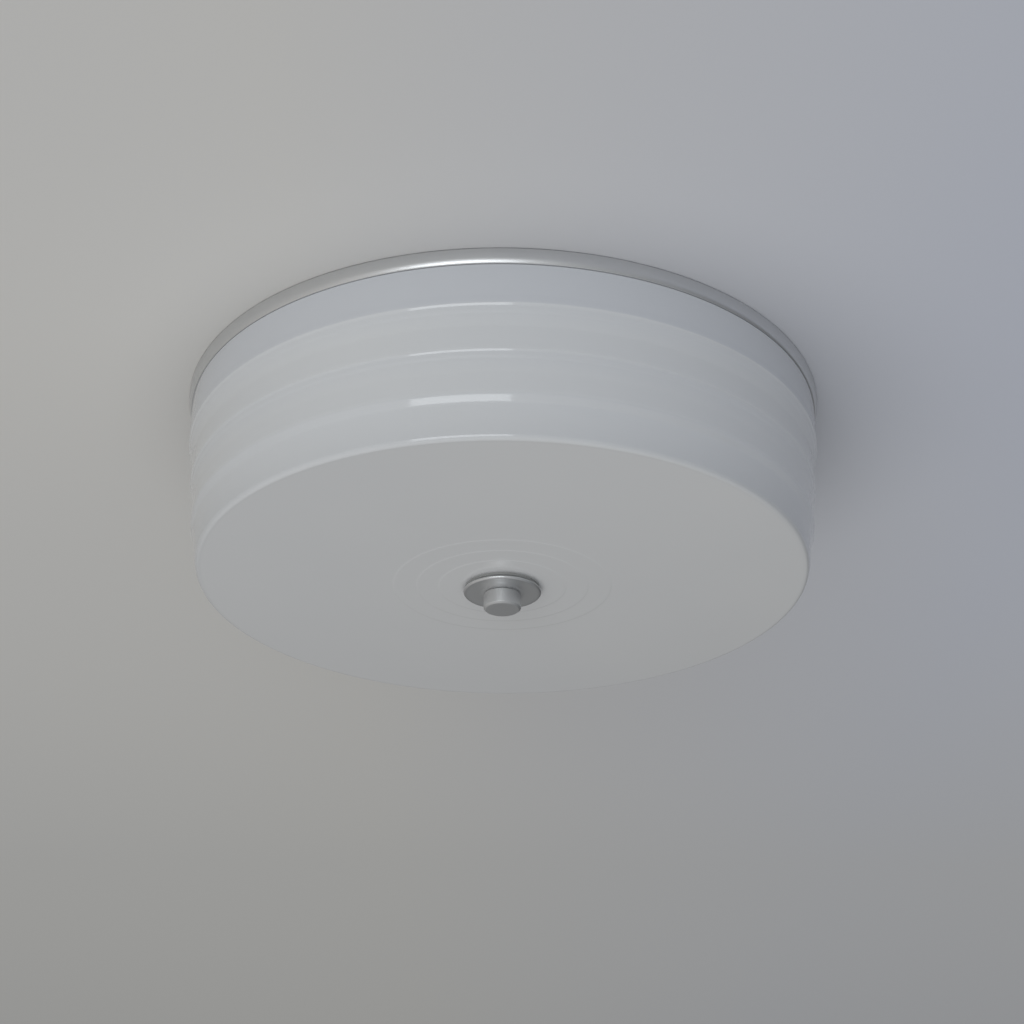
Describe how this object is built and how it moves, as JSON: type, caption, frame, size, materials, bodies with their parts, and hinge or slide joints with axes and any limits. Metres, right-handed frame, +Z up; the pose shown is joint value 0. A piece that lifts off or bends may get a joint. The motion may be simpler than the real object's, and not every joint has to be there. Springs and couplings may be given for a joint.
{
  "type": "flush mount ceiling light",
  "caption": "Round flush mount ceiling light: satin nickel ring, rippled opal glass drum held by a centre rod with a turned finial, screw-in lamps inside.",
  "frame": {"origin": "centre of the light on the ceiling plane, midway between the two box screw slots", "axes": "+Z up into the ceiling, +X along the mounting strap; the light hangs to -Z"},
  "size_m": [0.33, 0.33, 0.1095],
  "materials": {
    "satin_nickel": "satin",
    "white_enamel": "baked white enamel",
    "opal_glass": "glossy opal white",
    "zinc_steel": "zinc plated",
    "brass": "bright",
    "copper": "bare",
    "green_screw": "painted",
    "porcelain": "glazed",
    "rubber": "matte",
    "insulation": "glass fibre",
    "black_insulation": "matte",
    "white_insulation": "matte",
    "connector_plastic": "moulded",
    "bushing_plastic": "moulded",
    "lamp_metal": "nickel plated",
    "black_glass": "glossy",
    "lamp_plastic": "satin",
    "globe_plastic": "frosted",
    "board_aluminium": "white lacquer"
  },
  "bodies": {
    "fixture": {"bracket_rivets": "zinc_steel", "ceiling_pan": "white_enamel", "center_contact_a": "brass", "center_contact_b": "brass", "center_rod": "zinc_steel", "fixture_screws": "zinc_steel", "ground_lead": "copper", "ground_screw": "green_screw", "ground_terminal": "copper", "holder_bracket_a": "zinc_steel", "holder_bracket_b": "zinc_steel", "holder_screws": "brass", "hot_connector": "connector_plastic", "hot_lead_a": "black_insulation", "hot_lead_b": "black_insulation", "insulation_pad": "insulation", "lampholder_a": "porcelain", "lampholder_b": "porcelain", "lead_bushings": "bushing_plastic", "mounting_strap": "zinc_steel", "neutral_connector": "connector_plastic", "neutral_lead_a": "white_insulation", "neutral_lead_b": "white_insulation", "rod_nuts": "zinc_steel", "rod_washers": "zinc_steel", "screw_shell_a": "brass", "screw_shell_b": "brass", "thimble_nuts": "satin_nickel", "trim_ring": "satin_nickel"},
    "shade": {"glass_shade": "opal_glass", "hole_grommet": "rubber"},
    "cap": {"cap_washer": "rubber", "finial_cap": "satin_nickel"},
    "knob": {"finial_knob": "satin_nickel"},
    "lamp_a": {"lamp_contact_a": "lamp_metal", "lamp_insulator_a": "black_glass", "lamp_screw_cap_a": "lamp_metal", "lamp_housing_a": "lamp_plastic", "light_board_a": "board_aluminium", "lamp_globe_a": "globe_plastic"},
    "lamp_b": {"lamp_contact_b": "lamp_metal", "lamp_insulator_b": "black_glass", "lamp_screw_cap_b": "lamp_metal", "lamp_housing_b": "lamp_plastic", "light_board_b": "board_aluminium", "lamp_globe_b": "globe_plastic"}
  },
  "joints": [
    {"name": "shade_lower", "type": "slide", "parent": "fixture", "child": "shade", "axis": [0, 0, -1], "range_m": [0, 0.13]},
    {"name": "cap_travel", "type": "slide", "parent": "shade", "child": "cap", "axis": [0, 0, -1], "range_m": [0, 0.0067]},
    {"name": "knob_turn", "type": "hinge", "parent": "cap", "child": "knob", "pos_m": [0, 0, -0.1], "axis": [0, 0, -1], "range_deg": [0, 2520]},
    {"name": "lamp_a_withdraw", "type": "slide", "parent": "fixture", "child": "lamp_a", "axis": [1, 0, 0], "range_m": [0, 0.027]},
    {"name": "lamp_b_withdraw", "type": "slide", "parent": "fixture", "child": "lamp_b", "axis": [-1, 0, 0], "range_m": [0, 0.027]}
  ],
  "couplings": [
    {"joint": "cap_travel", "follows": "knob_turn", "m_per_rad": 0.00014972}
  ]
}
